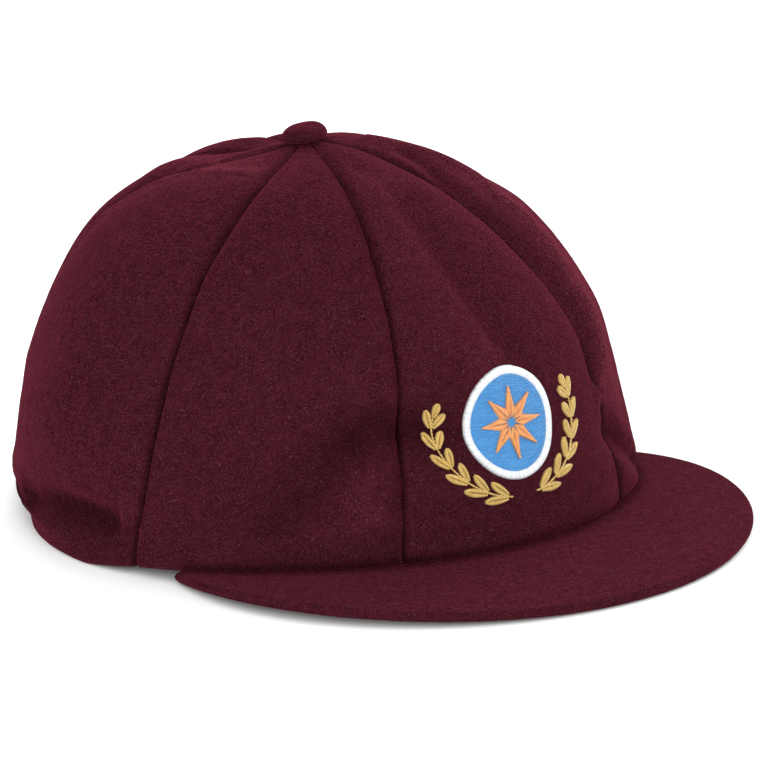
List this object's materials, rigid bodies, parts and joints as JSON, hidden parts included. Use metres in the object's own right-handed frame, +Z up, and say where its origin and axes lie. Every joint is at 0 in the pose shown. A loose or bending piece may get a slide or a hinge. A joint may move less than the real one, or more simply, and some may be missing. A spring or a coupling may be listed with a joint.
{
  "type": "cricket cap",
  "caption": "Panelled wool cricket cap with a short stiff peak, covered button, gathered back and small sewn badge.",
  "frame": {"origin": "middle of the level surface that the cap stands on, at the bottom centre of its box", "axes": "+Z up towards the button, -Y the way the peak points, -X the wearer's right"},
  "size_m": [0.1842, 0.241, 0.1157],
  "materials": {
    "wool": "felted melton wool, matt with a short nap",
    "peak_wool": "felted melton wool over a stiff core, matt",
    "thread_blue": "close satin stitch, soft sheen",
    "thread_silver": "close satin stitch, soft sheen",
    "thread_amber": "close satin stitch, soft sheen",
    "thread_gold": "close satin stitch, soft sheen"
  },
  "bodies": {
    "root": {"panel_front": "wool", "panel_front_right": "wool", "panel_side_right": "wool", "panel_back_right": "wool", "panel_back": "wool", "panel_back_left": "wool", "panel_side_left": "wool", "panel_front_left": "wool", "peak": "peak_wool", "button": "wool", "badge_field": "thread_blue", "badge_border": "thread_silver", "badge_star": "thread_amber", "badge_sprig_right": "thread_gold", "badge_sprig_left": "thread_gold"}
  },
  "joints": []
}
